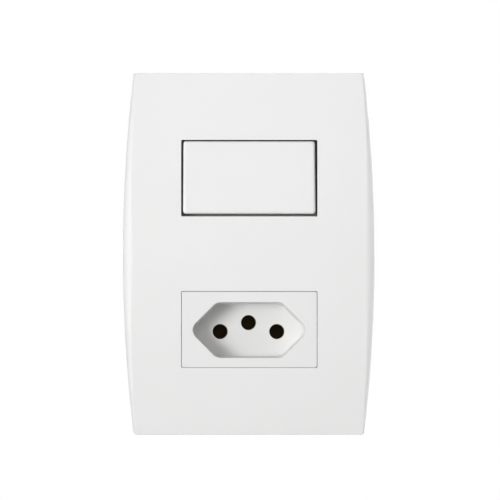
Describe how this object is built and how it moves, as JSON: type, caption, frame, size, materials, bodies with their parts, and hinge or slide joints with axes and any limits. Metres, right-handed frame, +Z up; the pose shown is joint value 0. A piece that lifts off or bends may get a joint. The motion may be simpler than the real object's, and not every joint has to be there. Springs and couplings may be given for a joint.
{
  "type": "switch and socket combination",
  "caption": "Flush wall unit in white plastic: a curved cover plate over a mounting frame, with a wide rocker switch above a recessed power outlet with round pin holes.",
  "frame": {"origin": "centre of the plate on the wall surface, which is the middle of the two box screws", "axes": "+X to the right as seen from the room, +Y into the wall, +Z up; the front faces -Y and the wall surface is Y = 0"},
  "size_m": [0.0842, 0.0338, 0.121],
  "materials": {
    "white_plastic": "satin",
    "ivory_plastic": "matt",
    "zinc_steel": "zinc plated",
    "spring_steel": "drawn",
    "brass": "stamped",
    "silver": "coined"
  },
  "bodies": {
    "root": {"face_plate": "white_plastic", "support_frame": "ivory_plastic", "box_screws": "zinc_steel", "rocker_cradle": "white_plastic", "switch_housing": "ivory_plastic", "switch_rear_cover": "ivory_plastic", "common_terminal": "brass", "fixed_contact_terminal": "brass", "fixed_contact_rivet": "silver", "switch_clamp_plates": "zinc_steel", "switch_terminal_screws": "zinc_steel", "socket_front": "white_plastic", "socket_rear_housing": "ivory_plastic", "line_contact": "brass", "neutral_contact": "brass", "earth_contact": "brass", "contact_spring_clips": "spring_steel", "socket_clamp_plates": "zinc_steel", "socket_terminal_screws": "zinc_steel", "socket_cover_screws": "zinc_steel"},
    "rocker": {"rocker_key": "white_plastic", "toggle_spring": "spring_steel", "toggle_plunger": "ivory_plastic"},
    "seesaw": {"moving_contact": "brass", "moving_contact_rivet": "silver"}
  },
  "joints": [
    {"name": "rocker_tilt", "type": "hinge", "parent": "root", "child": "rocker", "pos_m": [0, -0.00299, 0.0253], "axis": [1, 0, 0], "range_deg": [0, 8]},
    {"name": "seesaw_tilt", "type": "hinge", "parent": "root", "child": "seesaw", "pos_m": [0, 0.00791, 0.0253], "axis": [1, 0, 0], "range_deg": [-8, 0]}
  ],
  "couplings": [
    {"joint": "seesaw_tilt", "follows": "rocker_tilt", "ratio": -1}
  ]
}
